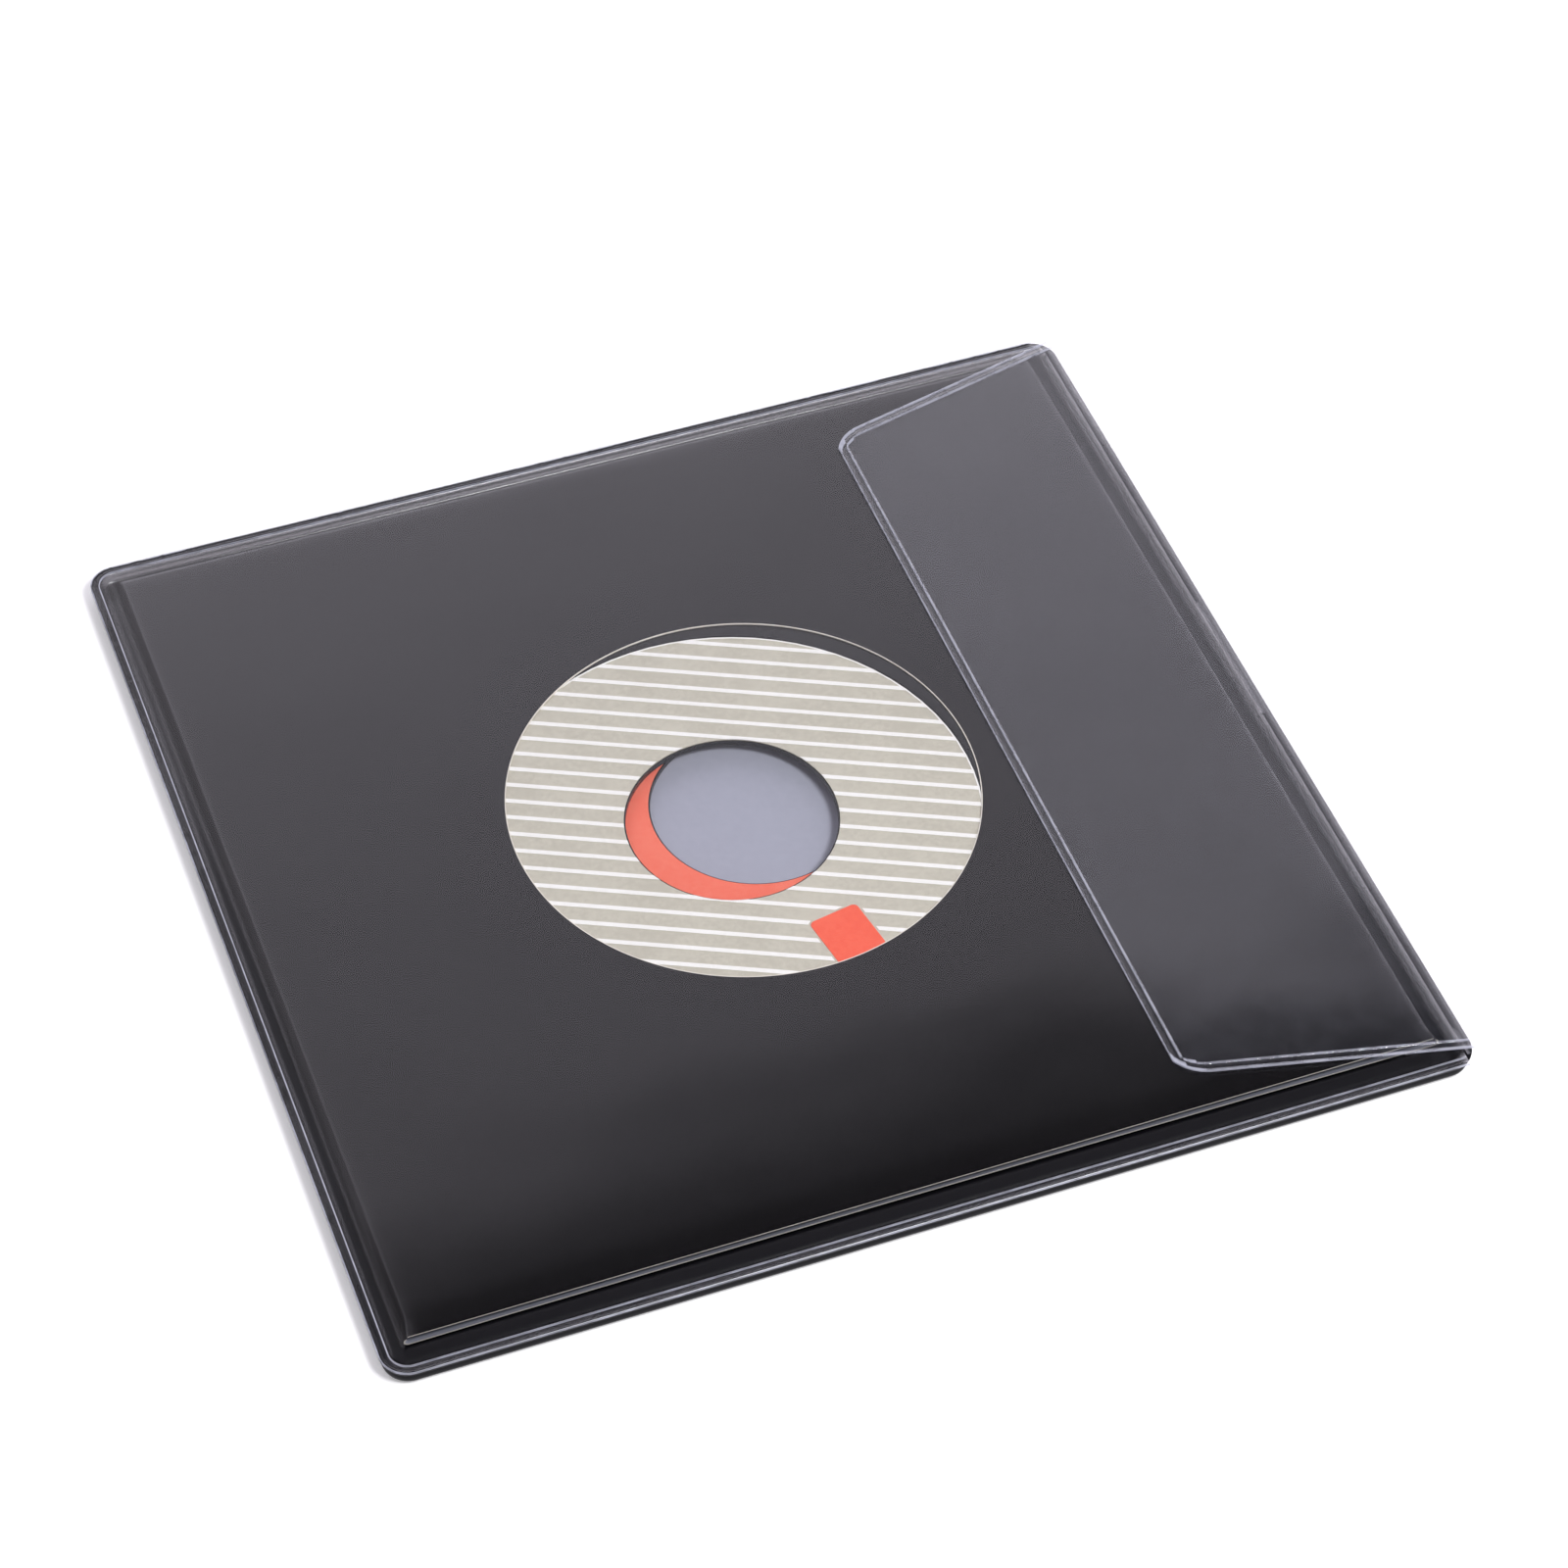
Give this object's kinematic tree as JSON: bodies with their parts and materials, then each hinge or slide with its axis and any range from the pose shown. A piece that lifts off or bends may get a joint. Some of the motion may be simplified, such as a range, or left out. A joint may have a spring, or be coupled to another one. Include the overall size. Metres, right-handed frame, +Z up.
{
  "type": "record sleeve",
  "caption": "Flat square film sleeve with a clear fold-over flap, holding a black paper sleeve with a round window and large-hole vinyl discs.",
  "frame": {"origin": "middle of the sleeve's square outline, on the surface that it lies on", "axes": "+X towards the mouth and the flap's fold, +Y towards the back edge, +Z up out of the front"},
  "size_m": [0.195, 0.195, 0.005],
  "materials": {
    "black_film": "black film, glossy and slightly wavy",
    "clear_film": "clear soft film, glossy, with welded beads",
    "black_paper": "smooth black paper, white inside, cream at its cut edges",
    "vinyl": "pressed black vinyl, glossy and finely grooved",
    "label_paper": "warm grey uncoated label paper",
    "white_ink": "white printed lines",
    "coral_ink": "coral printed field",
    "coral_paper": "coral uncoated label paper"
  },
  "bodies": {
    "root": {"back_sheet": "black_film", "front_sheet": "clear_film", "flap": "clear_film", "inner_sleeve": "black_paper", "upper_record": "vinyl", "upper_label_front": "label_paper", "upper_label_back": "label_paper", "label_stripes": "white_ink", "label_block": "coral_ink", "lower_record": "vinyl", "lower_label_front": "coral_paper", "lower_label_back": "coral_paper"}
  },
  "joints": []
}
